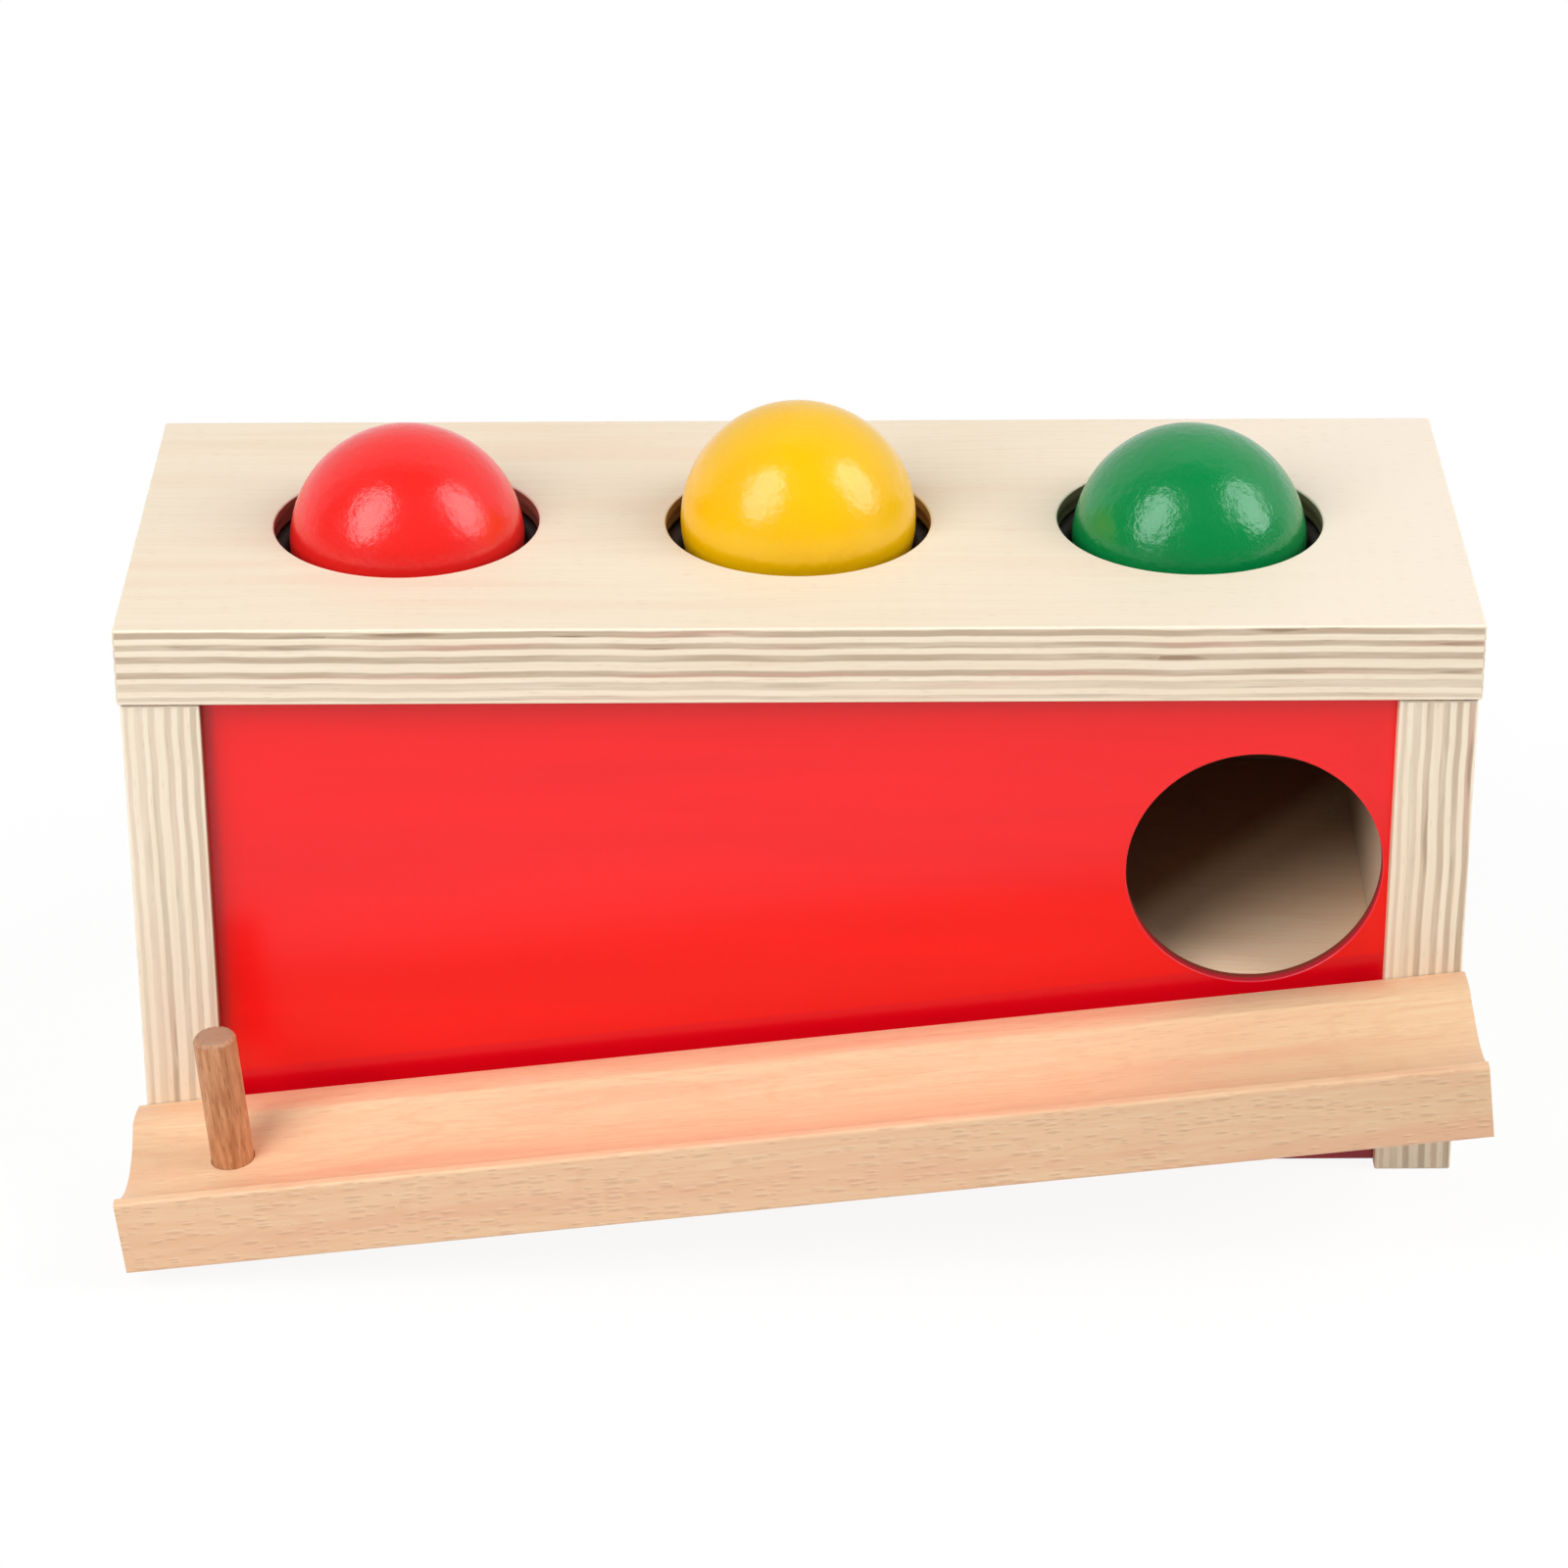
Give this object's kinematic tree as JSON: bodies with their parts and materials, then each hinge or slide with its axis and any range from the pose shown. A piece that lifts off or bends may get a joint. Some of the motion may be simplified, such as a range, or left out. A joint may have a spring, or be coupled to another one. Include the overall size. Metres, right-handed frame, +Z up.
{
  "type": "object permanence box",
  "caption": "Wooden toy box with balls held by rubber rings in its top, a ramp inside, a round exit hole in the red front, and a sloping track with a stop peg.",
  "frame": {"origin": "on the surface it stands on, under the middle of the whole object with its track", "axes": "+Z up, +X along the box towards the exit hole, the front with the track looks along -Y"},
  "size_m": [0.2826, 0.1528, 0.155],
  "materials": {
    "birch_plywood": "satin",
    "red_panel": "satin",
    "ramp_plywood": "matte",
    "beech": "satin",
    "peg_wood": "satin",
    "ring_rubber": "matte",
    "dowel_wood": "matte",
    "red_ball_lacquer": "gloss",
    "yellow_ball_lacquer": "gloss",
    "green_ball_lacquer": "gloss"
  },
  "bodies": {
    "box": {"top_plate": "birch_plywood", "left_end_panel": "birch_plywood", "right_end_panel": "birch_plywood", "front_panel": "red_panel", "back_panel": "red_panel", "ramp_board": "ramp_plywood", "ball_track": "beech", "stop_peg": "peg_wood", "rubber_ring_left": "ring_rubber", "rubber_ring_middle": "ring_rubber", "rubber_ring_right": "ring_rubber", "top_dowel_left_front": "dowel_wood", "top_dowel_left_back": "dowel_wood", "top_dowel_right_front": "dowel_wood", "top_dowel_right_back": "dowel_wood", "track_dowel_left": "dowel_wood", "track_dowel_right": "dowel_wood"},
    "ball_in_left_bore": {"red_ball": "red_ball_lacquer"},
    "ball_in_middle_bore": {"yellow_ball": "yellow_ball_lacquer"},
    "ball_in_right_bore": {"green_ball": "green_ball_lacquer"}
  },
  "joints": [
    {"name": "red_ball_push", "type": "slide", "parent": "box", "child": "ball_in_left_bore", "axis": [0, 0, 1], "range_m": [-0.045, 0.04], "deforming": ["rubber_ring_left"]},
    {"name": "yellow_ball_push", "type": "slide", "parent": "box", "child": "ball_in_middle_bore", "axis": [0, 0, 1], "range_m": [-0.0535, 0.04], "deforming": ["rubber_ring_middle"]},
    {"name": "green_ball_push", "type": "slide", "parent": "box", "child": "ball_in_right_bore", "axis": [0, 0, 1], "range_m": [-0.0516, 0.04], "deforming": ["rubber_ring_right"]}
  ]
}
